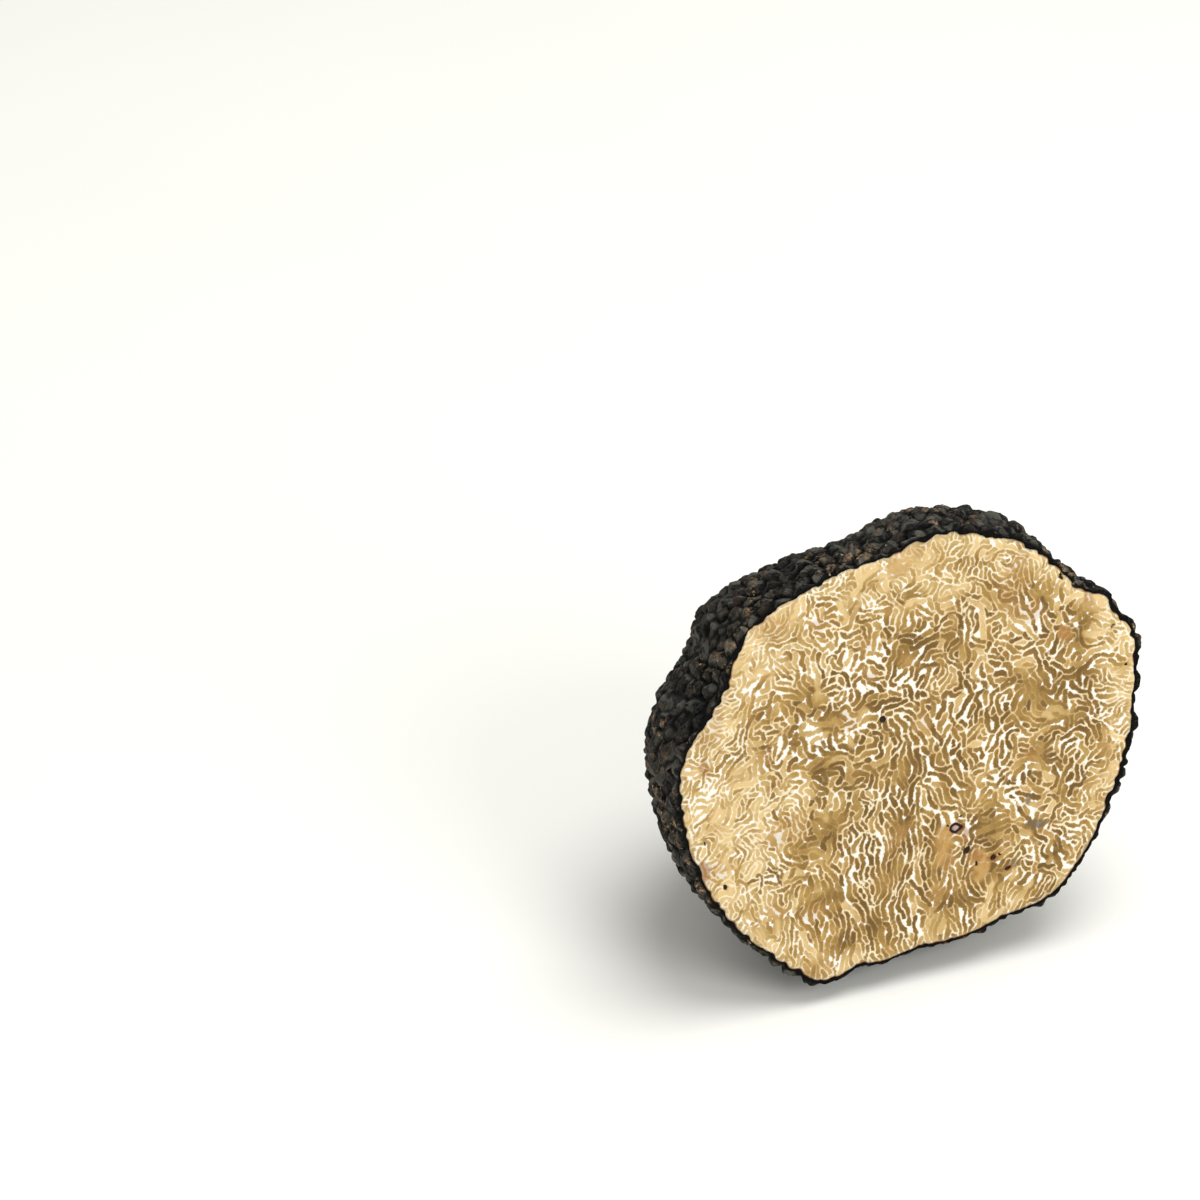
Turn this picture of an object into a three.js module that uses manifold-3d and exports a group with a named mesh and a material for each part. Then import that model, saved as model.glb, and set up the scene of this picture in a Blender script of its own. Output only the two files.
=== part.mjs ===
// Half of a summer truffle, cut through the middle and left resting on its rounded underside.
//
// Units are millimetres and +Z is up. The origin is the middle of the small flat spot that the
// truffle rests on, and the cut face looks along -Y and leans back a little.
//
// A truffle is a solid ball of marbled flesh in a thin, hard, dark rind. The rind's outside is
// covered in low pyramids, the warts, which meet in narrow grooves. Both pieces start from one
// lumpy form, so that the flesh fills the rind, and both end at the same cut.

import * as THREE from "three";
import { ConvexHull } from "three/addons/math/ConvexHull.js";
import { mergeVertices } from "three/addons/utils/BufferGeometryUtils.js";
import Module from "manifold-3d";

// How the half stands.
const LEAN = 15; // degrees that the cut face leans back from upright
const FACE_HEIGHT = 25.3; // from the ground to the middle of the cut face
const SPOT_BACK = 9; // from the middle of the cut face back to the middle of the flat spot

// The rind and the flesh.
const GROOVE_OUT = 0.35; // the bottom of the grooves, outside the edge of the pale flesh
const RIND = 0.6; // from the bottom of a groove to the inside of the rind
const GAP = 0.3; // clearance between the rind and the flesh
const DEPTH = 26; // from the cut face to the back of the form, before its lobes

// The edge of the pale flesh on the cut face: degrees round from +X, and distance from the middle.
const EDGE = [
  [0, 25.3],
  [18, 27.0],
  [28, 26.4],
  [38, 24.4],
  [54, 24.8],
  [75, 24.2],
  [97, 22.1],
  [115, 22.7],
  [137, 24.5],
  [150, 23.4],
  [175, 26.3],
  [205, 26.2],
  [224, 26.0],
  [242, 26.4],
  [252, 23.5],
  [268, 21.9],
  [290, 22.3],
  [310, 24.4],
  [335, 24.2],
];

// Lobes and dents of the form behind the cut: where they point, how far they stand out, and the
// angle in degrees over which they fade.
const LOBES = [
  { to: [-0.66, 0.36, -0.66], rise: 2.2, spread: 30 }, // shoulder
  { to: [-0.8, -0.3, -0.52], rise: 1.2, spread: 26 }, // left flank
  { to: [0.08, -0.66, -0.74], rise: 5.6, spread: 30 }, // heel that carries the weight
  { to: [0.62, -0.1, -0.78], rise: 2.4, spread: 24 }, // right cheek
  { to: [0.55, 0.66, -0.5], rise: 2.4, spread: 26 }, // crown
  { to: [0.25, 0.32, -0.91], rise: -3.6, spread: 22 }, // dent at the back
  { to: [-0.42, -0.12, -0.9], rise: 1.4, spread: 16 }, // small knob at the back
];
const LOBE_FADE = 0.35; // share of the way back over which lobes grow in, so the edge stays clean

// Warts.
const WART_SPACING = [1.3, 1.95]; // least distance between neighbours, smallest to largest
const WART_DARTS = 60000; // random places tried for a wart
const WART_ROOM = 1.3; // width of a wart for each millimetre of its spacing
const WART_STEEP = 0.36; // height of a wart for each millimetre of its width
const PUSH_ROUNDS = 6; // rounds in which neighbours push each other evenly apart
const PUSH = 0.16; // share of a shortfall in room that each push makes up
const FORM_RADIUS = 25; // mean radius of the form, for turning a spacing into an angle
const SEED = 20;

// The smooth ball's faces: this many rows of triangles along each edge of an icosahedron.
const SMOOTH_DETAIL = 9;
const FAR = 80; // half the size of the blocks that cut the form

// Seeded random numbers from 0 to 1 (mulberry32).
function randomNumbers(seed) {
  let state = seed;
  return () => {
    state = (state + 0x6d2b79f5) | 0;
    let mixed = Math.imul(state ^ (state >>> 15), 1 | state);
    mixed = (mixed + Math.imul(mixed ^ (mixed >>> 7), 61 | mixed)) ^ mixed;
    return ((mixed ^ (mixed >>> 14)) >>> 0) / 4294967296;
  };
}

const radians = THREE.MathUtils.degToRad;
const smooth = (t) => t * t * (3 - 2 * t);

// Distance from the middle of the cut face to the edge of the flesh, at an angle in radians.
function edgeRadius(angle) {
  const degrees = THREE.MathUtils.euclideanModulo(
    THREE.MathUtils.radToDeg(angle),
    360,
  );
  const next = EDGE.findIndex(([at]) => at > degrees);
  const [from, before] = EDGE[next < 0 ? EDGE.length - 1 : next - 1];
  const [to, after] = next < 0 ? [360, EDGE[0][1]] : EDGE[next];
  return THREE.MathUtils.lerp(
    before,
    after,
    smooth((degrees - from) / (to - from)),
  );
}

// How far the form reaches from its middle in a direction, at the bottom of the grooves.
// The cut face lies at z = 0 and the half that is kept at negative z.
function reach(direction) {
  const outward = Math.hypot(direction.x, direction.y);
  const rim = edgeRadius(Math.atan2(direction.y, direction.x)) + GROOVE_OUT;
  const back = smooth(
    THREE.MathUtils.clamp(-direction.z / LOBE_FADE, 0, 1),
  );
  let far = 1 / Math.hypot(outward / rim, direction.z / DEPTH);
  for (const { to, rise, spread } of LOBES) {
    const away = direction.angleTo(new THREE.Vector3(...to));
    far += back * rise * Math.exp(-((away / radians(spread)) ** 2));
  }
  return far;
}

// Random directions that keep apart from each other, each with the width of its wart.
function scatterWarts() {
  const random = randomNumbers(SEED);
  const warts = [];
  for (let dart = 0; dart < WART_DARTS; dart++) {
    const height = 2 * random() - 1;
    const turn = 2 * Math.PI * random();
    const spacing = THREE.MathUtils.lerp(...WART_SPACING, random());
    const ring = Math.sqrt(1 - height * height);
    const at = new THREE.Vector3(
      ring * Math.cos(turn),
      ring * Math.sin(turn),
      height,
    );
    const clear = warts.every(
      (other) =>
        other.at.distanceTo(at) > (other.spacing + spacing) / 2 / FORM_RADIUS,
    );
    if (clear) warts.push({ at, spacing, width: spacing * WART_ROOM });
  }
  for (let round = 0; round < PUSH_ROUNDS; round++) pushApart(warts);
  return warts;
}

// Moves every wart a little away from the neighbours that are nearer than their widths allow.
function pushApart(warts) {
  const pushes = warts.map(({ at, width }) => {
    const push = new THREE.Vector3();
    for (const other of warts) {
      const room = (other.width + width) / 2 / FORM_RADIUS;
      const apart = other.at.distanceTo(at);
      if (apart > 0 && apart < room)
        push.addScaledVector(
          at.clone().sub(other.at),
          (PUSH * (room - apart)) / apart,
        );
    }
    return push;
  });
  warts.forEach(({ at }, i) => at.add(pushes[i]).normalize());
}

// The form with its warts, as loose triangles. Each wart is a pyramid on the cell of directions
// that are nearer to it than to any other. On a sphere the corners of those cells are the
// normals of the hull of the wart centres.
function wartyForm() {
  const warts = scatterWarts();
  const hull = new ConvexHull().setFromPoints(warts.map((wart) => wart.at));
  const widths = new Map(warts.map((wart) => [wart.at, wart.width]));
  const corners = new Map();
  const peaks = new Map();
  for (const face of hull.faces)
    corners.set(
      face,
      face.normal.clone().multiplyScalar(reach(face.normal)),
    );
  for (const [at, width] of widths)
    peaks.set(
      at,
      at.clone().multiplyScalar(reach(at) + WART_STEEP * width),
    );
  const points = [];
  for (const face of hull.faces) {
    let edge = face.edge;
    do {
      const peak = peaks.get(edge.tail().point);
      points.push(peak, corners.get(edge.twin.face), corners.get(face));
      edge = edge.next;
    } while (edge !== face.edge);
  }
  return new THREE.BufferGeometry().setFromPoints(points);
}

// The form without warts, a little smaller all round.
function smoothForm(inset) {
  const ball = new THREE.IcosahedronGeometry(1, SMOOTH_DETAIL);
  const points = ball.getAttribute("position");
  const point = new THREE.Vector3();
  for (let i = 0; i < points.count; i++) {
    point.fromBufferAttribute(points, i).normalize();
    point.multiplyScalar(reach(point) - inset);
    points.setXYZ(i, point.x, point.y, point.z);
  }
  return ball;
}

// From the form's own frame, where the cut face is the plane z = 0, to the part's frame.
const stand = new THREE.Matrix4()
  .makeTranslation(0, -SPOT_BACK, FACE_HEIGHT)
  .multiply(new THREE.Matrix4().makeRotationX(radians(90 - LEAN)));

const wasm = await Module();
wasm.setup();

// A closed geometry as a solid that can be cut and joined.
function solid(geometry) {
  const bare = geometry.clone();
  bare.deleteAttribute("normal");
  bare.deleteAttribute("uv");
  const merged = mergeVertices(bare, 1e-4);
  return new wasm.Manifold(
    new wasm.Mesh({
      numProp: 3,
      vertProperties: merged.getAttribute("position").array,
      triVerts: new Uint32Array(merged.index.array),
    }),
  );
}

function geometryOf(made) {
  const { vertProperties, triVerts } = made.getMesh();
  const geometry = new THREE.BufferGeometry()
    .setAttribute("position", new THREE.BufferAttribute(vertProperties, 3))
    .setIndex(new THREE.BufferAttribute(triVerts, 1));
  geometry.computeVertexNormals();
  return geometry;
}

// Everything behind the cut and above a height over the ground.
const block = () => new THREE.BoxGeometry(2 * FAR, 2 * FAR, 2 * FAR);
const behindCut = solid(block().translate(0, 0, -FAR).applyMatrix4(stand));
const above = (height) => solid(block().translate(0, 0, FAR + height));

// The whole rind's outside, less its inside, less what the knife and the ground take.
function rindSolid() {
  const outside = solid(wartyForm().applyMatrix4(stand));
  const inside = solid(smoothForm(RIND).applyMatrix4(stand));
  return outside
    .subtract(inside.intersect(above(RIND)))
    .intersect(behindCut)
    .intersect(above(0));
}

function fleshSolid() {
  const inset = RIND + GAP;
  return solid(smoothForm(inset).applyMatrix4(stand))
    .intersect(behindCut)
    .intersect(above(inset));
}

const rindFinish = new THREE.MeshStandardMaterial({
  color: 0x1d1b1a,
  roughness: 0.62,
  metalness: 0,
  flatShading: true,
});
const fleshFinish = new THREE.MeshStandardMaterial({
  color: 0xc9a877,
  roughness: 0.5,
  metalness: 0,
  flatShading: true,
});

function piece(name, made, material) {
  const mesh = new THREE.Mesh(geometryOf(made), material);
  mesh.name = name;
  return mesh;
}

const truffle = new THREE.Group();
truffle.name = "summer_truffle_half";
truffle.add(
  piece("rind", rindSolid(), rindFinish),
  piece("flesh", fleshSolid(), fleshFinish),
);

export default truffle;
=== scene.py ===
# %% [markdown]
# # Half a summer truffle
#
# A summer truffle is a ball of pale marbled flesh in a thin black skin, the rind, whose outside is
# all low warts. This one is cut through the middle and stands on its rounded underside, so that the
# cut face leans back and shows the marbling.
#
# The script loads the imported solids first. They fix every size and place. Two finer pieces then
# take the place of the two solids: a rind with real warts, and a flesh whose mesh is fine enough to
# carry the marbling in its corners.

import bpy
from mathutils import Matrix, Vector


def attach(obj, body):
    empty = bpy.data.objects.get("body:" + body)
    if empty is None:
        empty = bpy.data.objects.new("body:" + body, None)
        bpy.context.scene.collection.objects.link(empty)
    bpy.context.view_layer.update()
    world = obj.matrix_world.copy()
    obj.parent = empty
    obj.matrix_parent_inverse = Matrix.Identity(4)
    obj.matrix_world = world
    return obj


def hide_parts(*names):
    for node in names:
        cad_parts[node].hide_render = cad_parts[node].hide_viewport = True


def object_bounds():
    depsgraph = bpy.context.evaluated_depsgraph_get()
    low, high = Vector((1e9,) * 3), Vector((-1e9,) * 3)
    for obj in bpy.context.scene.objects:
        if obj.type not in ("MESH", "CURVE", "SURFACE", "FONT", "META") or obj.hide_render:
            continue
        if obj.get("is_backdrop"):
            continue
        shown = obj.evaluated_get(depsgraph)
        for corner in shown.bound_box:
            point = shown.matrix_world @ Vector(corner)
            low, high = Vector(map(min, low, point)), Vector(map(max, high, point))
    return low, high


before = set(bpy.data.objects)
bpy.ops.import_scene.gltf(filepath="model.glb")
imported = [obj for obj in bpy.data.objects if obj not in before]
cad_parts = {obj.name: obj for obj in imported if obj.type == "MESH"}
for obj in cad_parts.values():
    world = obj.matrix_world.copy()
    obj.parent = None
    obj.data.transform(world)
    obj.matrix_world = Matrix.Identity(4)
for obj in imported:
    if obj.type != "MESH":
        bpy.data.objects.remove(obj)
cad_low, cad_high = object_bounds()
cad_box = [round(1000 * (high - low), 1) for low, high in zip(cad_low, cad_high)]
print("solids:", sorted(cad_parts), "box in mm:", cad_box)

# %% Bring in what the script needs
import math

import bmesh
import bpy
import numpy as np
from mathutils import Matrix, Vector, noise
from mathutils.kdtree import KDTree

MM = 0.001  # one millimetre in metres

# %% [markdown]
# ## The lumpy form
#
# Rind and flesh share one form. It could be sculpted, but then the two pieces would have to be
# fitted to each other and to the solids. A formula is surer: for every direction from the middle of
# the cut face it says how far the form reaches. The cut face lies at z = 0 in the form's own frame,
# and the kept half at negative z. The numbers are those of the solids, in millimetres.

# %% Numbers of the form
LEAN = 15  # degrees that the cut face leans back from upright
FACE_HEIGHT = 25.3  # from the ground to the middle of the cut face
SPOT_BACK = 9  # from the middle of the cut face back to the middle of the flat spot
GROOVE_OUT = 0.35  # the bottom of the grooves, outside the edge of the pale flesh
RIND = 0.6  # from the bottom of a groove to the inside of the rind
DEPTH = 26  # from the cut face to the back of the form, before its lobes
FORM_RADIUS = 25  # mean radius of the form

# The edge of the pale flesh on the cut face: degrees round from +X, and distance from the middle.
EDGE = [
    (0, 25.3), (18, 27.0), (28, 26.4), (38, 24.4), (54, 24.8), (75, 24.2), (97, 22.1),
    (115, 22.7), (137, 24.5), (150, 23.4), (175, 26.3), (205, 26.2), (224, 26.0), (242, 26.4),
    (252, 23.5), (268, 21.9), (290, 22.3), (310, 24.4), (335, 24.2), (360, 25.3),
]

# Lobes and dents behind the cut: where they point, how far they stand out, and the angle in
# degrees over which they fade.
LOBES = [
    ((-0.66, 0.36, -0.66), 2.2, 30),
    ((-0.8, -0.3, -0.52), 1.2, 26),
    ((0.08, -0.66, -0.74), 5.6, 30),
    ((0.62, -0.1, -0.78), 2.4, 24),
    ((0.55, 0.66, -0.5), 2.4, 26),
    ((0.25, 0.32, -0.91), -3.6, 22),
    ((-0.42, -0.12, -0.9), 1.4, 16),
]
LOBE_FADE = 0.35  # share of the way back over which lobes grow in


# %% How far the form reaches
def smooth(t):
    return t * t * (3 - 2 * t)


def smooth_between(low, high, value):
    return smooth(np.clip((value - low) / (high - low), 0, 1))


def edge_radius(angle):
    """Distance from the middle of the cut face to the edge of the flesh, at angles in radians."""
    at, far = np.array(EDGE, float).T
    degrees = np.degrees(angle) % 360
    after = np.clip(np.searchsorted(at, degrees, side="right"), 1, len(at) - 1)
    share = smooth((degrees - at[after - 1]) / (at[after] - at[after - 1]))
    return far[after - 1] + (far[after] - far[after - 1]) * share


def reach(ways):
    """How far the form reaches along unit directions, at the bottom of the grooves."""
    outward = np.hypot(ways[:, 0], ways[:, 1])
    rim = edge_radius(np.arctan2(ways[:, 1], ways[:, 0])) + GROOVE_OUT
    back = smooth(np.clip(-ways[:, 2] / LOBE_FADE, 0, 1))
    far = 1 / np.hypot(outward / rim, ways[:, 2] / DEPTH)
    for to, rise, spread in LOBES:
        to = np.array(to) / np.linalg.norm(to)
        away = np.degrees(np.arccos(np.clip(ways @ to, -1, 1)))
        far = far + back * rise * np.exp(-((away / spread) ** 2))
    return far


def ways_at(angle, down):
    """Unit directions at angles round the face and down behind it, in radians."""
    return np.stack([np.cos(angle) * np.cos(down), np.sin(angle) * np.cos(down), -np.sin(down)], axis=1)


def stand(points):
    """From the form's own frame to the part's frame, both in millimetres."""
    turn = math.radians(90 - LEAN)
    x, y, z = points.T
    back = y * math.cos(turn) - z * math.sin(turn) - SPOT_BACK
    up = y * math.sin(turn) + z * math.cos(turn) + FACE_HEIGHT
    return np.stack([x, back, up], axis=1)


print("the face is", round(float(edge_radius(0.0) + edge_radius(math.pi)), 1), "mm wide at its middle")

# %% [markdown]
# ## Where the warts are
#
# The warts are scattered evenly but never in rows. Points are thrown at a ball one by one, and a
# point is kept only if it isn't too near an earlier one. A few rounds of pushing then even out the
# gaps. The random numbers start from the same seed as those of the solids, so the fine warts stand
# where the plain pyramids do.

# %% Scatter the warts
WART_SPACING = (1.3, 1.95)  # least distance between neighbours, smallest to largest
WART_DARTS = 60000  # random places tried for a wart
WART_ROOM = 1.3  # width of a wart for each millimetre of its spacing
WART_STEEP = 0.36  # height of a wart for each millimetre of its width
PUSH_ROUNDS = 6  # rounds in which neighbours push each other evenly apart
PUSH = 0.16  # share of a shortfall in room that each push makes up
SEED = 20
MOST_WARTS = 4000  # more than can find room
WORD = 0xFFFFFFFF  # keeps the random numbers to 32 bits


def random_numbers(seed):
    """The same run of numbers from 0 to 1 as the solids use."""
    state = seed
    while True:
        state = (state + 0x6D2B79F5) & WORD
        mixed = (state ^ (state >> 15)) * (1 | state) & WORD
        mixed ^= (mixed + ((mixed ^ (mixed >> 7)) * (61 | mixed) & WORD)) & WORD
        yield ((mixed ^ (mixed >> 14)) & WORD) / (WORD + 1)


def scatter_warts():
    random = random_numbers(SEED)
    at = np.zeros((MOST_WARTS, 3))
    spacing = np.zeros(MOST_WARTS)
    count = 0
    for _ in range(WART_DARTS):
        height = 2 * next(random) - 1
        turn = 2 * math.pi * next(random)
        room = WART_SPACING[0] + (WART_SPACING[1] - WART_SPACING[0]) * next(random)
        ring = math.sqrt(1 - height * height)
        dart = np.array([ring * math.cos(turn), ring * math.sin(turn), height])
        apart = np.sqrt(((at[:count] - dart) ** 2).sum(axis=1))
        if np.all(apart > (spacing[:count] + room) / 2 / FORM_RADIUS):
            at[count] = dart
            spacing[count] = room
            count += 1
    at, width = at[:count], spacing[:count] * WART_ROOM
    for _ in range(PUSH_ROUNDS):
        away = at[:, None] - at[None]
        apart = np.linalg.norm(away, axis=2)
        room = (width[:, None] + width[None]) / 2 / FORM_RADIUS
        near = (apart > 0) & (apart < room)
        share = np.where(near, PUSH * (room - apart) / np.where(apart > 0, apart, 1), 0)
        at = at + (away * share[:, :, None]).sum(axis=1)
        at /= np.linalg.norm(at, axis=1)[:, None]
    return at, width


wart_at, wart_width = scatter_warts()
wart_random = np.random.default_rng(SEED).random((len(wart_at), 6))
print(len(wart_at), "warts on the whole ball, mean width", round(float(wart_width.mean()), 2), "mm")

# %% [markdown]
# ## The shape of one wart
#
# Every wart fills a cell: the directions that are nearer to it than to its neighbours. A straight
# pyramid over that cell looks cut from stone, and a rounded one looks like a berry. A real wart has
# steep walls that rise from a narrow groove and a blunt top of a few flat, uneven facets. So each
# wart gets some planes of its own, which slope away from near its middle, and the lowest of the
# planes and the wall is the surface. The cells are bent a little first, because real warts don't
# meet in straight lines.

# %% Cells of the warts
NEIGHBOURS = 9  # wart centres looked at round each point
BEND = 0.24  # mm that the borders of the cells wander
FAR_OFF = 9.0  # mm, for a distance that isn't known yet
wart_tree = KDTree(len(wart_at))
for number, place in enumerate(wart_at):
    wart_tree.insert(place, number)
wart_tree.balance()


def noise_at(points, size, seed):
    """Soft random bumps from about -1 to 1 of a given size, at points in mm."""
    shift = Vector((seed * 17.3, seed * 5.1, seed * 9.7))
    return np.array([noise.noise(Vector(p) / size + shift) for p in points])


def chip_at(points, size):
    """0 at the points of small random pyramids of a given size, and about 1 between them."""
    return np.array([noise.voronoi(Vector(p) / size)[0][0] for p in points])


def wart_cells(ways):
    """For unit directions: their wart, the way from its middle in mm, and mm from its border."""
    spots = ways * FORM_RADIUS
    bend = np.stack([noise_at(spots, 1.1, seed) for seed in (51, 52, 53)], axis=1)
    bent = ways + BEND / FORM_RADIUS * bend
    near = np.array([[n for _, n, _ in wart_tree.find_n(way, NEIGHBOURS)] for way in bent])
    own = wart_at[near[:, 0]]
    border = np.full(len(ways), FAR_OFF)
    for k in range(1, NEIGHBOURS):
        across = wart_at[near[:, k]] - own
        width = np.linalg.norm(across, axis=1)
        along = np.einsum("ij,ij->i", bent - own, across) / width
        border = np.minimum(border, (width / 2 - along) * FORM_RADIUS)
    return near[:, 0], (bent - own) * FORM_RADIUS, np.maximum(border, 0)


# %% Height of the warts
FACETS = 5  # sloping planes on each wart
WALL_STEEP = 2.6  # mm that a wart's wall rises in each millimetre
GROOVE_ROUND = 0.05  # mm over which the bottom of a groove is rounded
CREST_IN = 0.42  # mm from the border of a cell to where its groove is left behind
TALLEST = 1.0  # mm
wart_chance = np.random.default_rng(SEED + 1).random((3, len(wart_at), FACETS))
helper = np.where(np.abs(wart_at[:, 2:]) < 0.9, (0.0, 0.0, 1.0), (1.0, 0.0, 0.0))
wart_side = np.cross(wart_at, helper)
wart_side /= np.linalg.norm(wart_side, axis=1)[:, None]
wart_ahead = np.cross(wart_at, wart_side)


def wart_height(ways):
    """Height in mm over the grooves, the wart, 0 to 1 out of the groove, and the facet's random number,
    which picks its painted glint.
    """
    wart, off, border = wart_cells(ways)
    half = wart_width[wart] / 2
    x = np.einsum("ij,ij->i", off, wart_side[wart]) / half
    y = np.einsum("ij,ij->i", off, wart_ahead[wart]) / half
    chance = wart_random[wart]
    # The top is a nearly flat plane, and the facets cut it down all round.
    roof = 0.82 + 0.18 * chance[:, 0] + 0.7 * (chance[:, 1] - 0.5) * x + 0.7 * (chance[:, 2] - 0.5) * y
    # The facet's random number later picks the facets that the material paints light, as glints.
    tone = chance[:, 5]
    for k in range(FACETS):
        turn = 2 * math.pi * ((k + 0.7 * wart_chance[0, wart, k]) / FACETS + chance[:, 3])
        fall = 0.5 + 1.5 * wart_chance[1, wart, k]
        start = 0.45 * wart_chance[2, wart, k]
        facet = 1.0 - fall * (x * np.cos(turn) + y * np.sin(turn) - start)
        tone = np.where(facet < roof, wart_chance[1, wart, k], tone)
        roof = np.minimum(roof, facet)
    tall = WART_STEEP * wart_width[wart] * (0.72 + 0.28 * chance[:, 3])
    wall = WALL_STEEP * np.maximum(np.sqrt(border**2 + GROOVE_ROUND**2) - GROOVE_ROUND, 0)
    height = np.clip(np.minimum(tall * roof, wall), 0, TALLEST)
    return height, wart, np.clip(border / CREST_IN, 0, 1), tone


# %% [markdown]
# ## The wavy edge of the flesh
#
# On the cut, the edge between flesh and rind isn't a clean curve. It bulges a little under each
# wart and draws in at each groove, and it is ragged in between, because the knife tears the skin.
# The same wart cells, taken round the rim and smoothed, give the bulges, and two sizes of noise
# give the raggedness. Both pieces use the same edge, so they fit.

# %% Wave of the edge
RIM_STEPS = 2880  # places round the rim
FINEST_WAVE = 150  # waves round the rim, and finer ones are smoothed out of the bulges
BULGE = 0.55  # mm from the deepest notch to the highest bulge
RAGGED = 0.25  # mm that the edge wanders in between
THIN_BELOW = 0.3  # mm that the flesh reaches further out along the bottom, where the rind is thin
THINNEST = 0.15  # mm of rind left over the flesh in a groove
SOFT_BEND = 0.08  # mm over which the wave bends off
rim_angles = np.arange(RIM_STEPS) * 2 * math.pi / RIM_STEPS
rim_ways = ways_at(rim_angles, np.zeros(RIM_STEPS))
bulges = wart_height(rim_ways)[2] - 0.5
wave_turns = np.fft.rfftfreq(RIM_STEPS, 1 / RIM_STEPS)
bulges = np.fft.irfft(np.fft.rfft(bulges) * np.exp(-((wave_turns / FINEST_WAVE) ** 2)), RIM_STEPS)
ragged = noise_at(rim_ways * FORM_RADIUS, 1.3, 61) + 0.8 * noise_at(rim_ways * FORM_RADIUS, 0.5, 62)


def low_rim(angle):
    """1 along the bottom of the cut to 0 elsewhere."""
    degrees = np.degrees(angle) % 360
    return smooth_between(225, 255, degrees) * smooth_between(345, 320, degrees)


rim_wave = BULGE * bulges + RAGGED * ragged + THIN_BELOW * low_rim(rim_angles)
# The flesh must not show through a groove, so the wave bends off softly before it gets there.
furthest = GROOVE_OUT - THINNEST
rim_wave = furthest - SOFT_BEND * np.log1p(np.exp((furthest - rim_wave) / SOFT_BEND))


def flesh_edge(angle):
    """Distance from the middle to the wavy edge of the flesh, in mm."""
    return edge_radius(angle) + np.interp(angle % (2 * math.pi), rim_angles, rim_wave, period=2 * math.pi)


print("the edge waves by", round(float(np.ptp(rim_wave)), 2), "mm")

# %% [markdown]
# ## The rind's mesh
#
# The rind is a bowl: a warty outside, a narrow cut ring, and a plain inside. A ball of even
# triangles is cut in half, and its open edge is pulled inwards ring by ring. That happens on a
# plain unit ball, where each ring is simply further out, and one formula then moves every corner to
# its place. Even triangles matter, because a ball of squares would pinch the warts at its poles.


# %% Helpers for meshes
def boundary(bm):
    return [edge for edge in bm.edges if edge.is_boundary]


def pull_ring(bm, edges, move):
    """Pulls a row of faces out of a ring of open edges and places its new corners."""
    made = bmesh.ops.extrude_edge_only(bm, edges=edges)["geom"]
    for vert in made:
        if isinstance(vert, bmesh.types.BMVert):
            vert.co = move(vert.co)
    return [edge for edge in made if isinstance(edge, bmesh.types.BMEdge)]


def finished(name, bm):
    """Turns a bmesh into an object at the origin and returns it with its corners."""
    mesh = bpy.data.meshes.new(name)
    bm.to_mesh(mesh)
    bm.free()
    piece = bpy.data.objects.new(name, mesh)
    bpy.context.collection.objects.link(piece)
    corners = np.empty(3 * len(mesh.vertices))
    mesh.vertices.foreach_get("co", corners)
    return piece, corners.reshape(-1, 3)


def place(piece, points):
    """Puts the corners where the form stands, given in mm in the part's frame."""
    piece.data.vertices.foreach_set("co", (points * MM).ravel())
    piece.data.update()
    piece.data.shade_smooth()


def store(piece, name, values):
    """Keeps one number on every corner, for the material to read."""
    layer = piece.data.attributes.new(name, "FLOAT", "POINT")
    layer.data.foreach_set("value", np.asarray(values, np.float32))


# %% Half ball, cut ring and inside of the rind
BALL_DETAIL = 8  # subdivisions of the ball
INSIDE_RINGS = 11  # rows of faces down the inside
RING_STEP = 1.0  # how far out each ring is laid before it is moved
POLE_UP = 100  # how high the point that closes the inside is laid, far from all others

bm = bmesh.new()
bmesh.ops.create_icosphere(bm, subdivisions=BALL_DETAIL, radius=1.0)
everything = bm.verts[:] + bm.edges[:] + bm.faces[:]
bmesh.ops.bisect_plane(
    bm, geom=everything, dist=1e-6, plane_co=(0, 0, 0), plane_no=(0, 0, 1), clear_outer=True
)
ring = boundary(bm)
for step in range(INSIDE_RINGS + 1):
    ring = pull_ring(bm, ring, lambda co: co * (co.length + RING_STEP) / co.length)
pole = {vert for edge in ring for vert in edge.verts}
bmesh.ops.pointmerge(bm, verts=list(pole), merge_co=(0, 0, POLE_UP))
rind, laid = finished("warty_rind", bm)
print("rind:", len(laid), "corners")

# %% Which way each corner of the rind goes
far_out = np.linalg.norm(laid, axis=1)
outside = far_out < 1 + RING_STEP / 2
row = np.clip(np.round((far_out - 1) / RING_STEP), 1, INSIDE_RINGS + 1)
down = (row - 1) / INSIDE_RINGS * math.pi / 2
angle = np.arctan2(laid[:, 1], laid[:, 0])
inside_way = ways_at(angle, down)
inside_way[laid[:, 2] > POLE_UP / 2] = (0, 0, -1)
ways = np.where(outside[:, None], laid, inside_way)
ways /= np.linalg.norm(ways, axis=1)[:, None]
print("rind:", int(outside.sum()), "corners outside")

# %% Move the rind's corners to their places
SLIT = 0.02  # mm between the rind and the flesh
EDGE_FADE = 0.12  # radians behind the cut over which the wavy edge fades

height = np.zeros(len(ways))
crest = np.zeros(len(ways))
facet_glint = np.zeros(len(ways))
wart = np.zeros(len(ways), int)
height[outside], wart[outside], crest[outside], facet_glint[outside] = wart_height(ways[outside])
spots_mm = ways * FORM_RADIUS
rough = 0.05 * noise_at(spots_mm, 0.6, 1) + 0.05 * noise_at(spots_mm, 0.3, 2)
chips = 0.2 * (0.45 - chip_at(spots_mm, 0.85))
lumps = 0.14 * noise_at(spots_mm, 3.0, 3)
near_cut = smooth_between(-0.12, 0.0, ways[:, 2])
height *= 1 - 0.4 * near_cut * low_rim(angle)  # the warts are lower along the bottom of the cut
skin = reach(ways) + height + np.where(outside, (rough + chips + lumps) * crest, 0)

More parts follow.
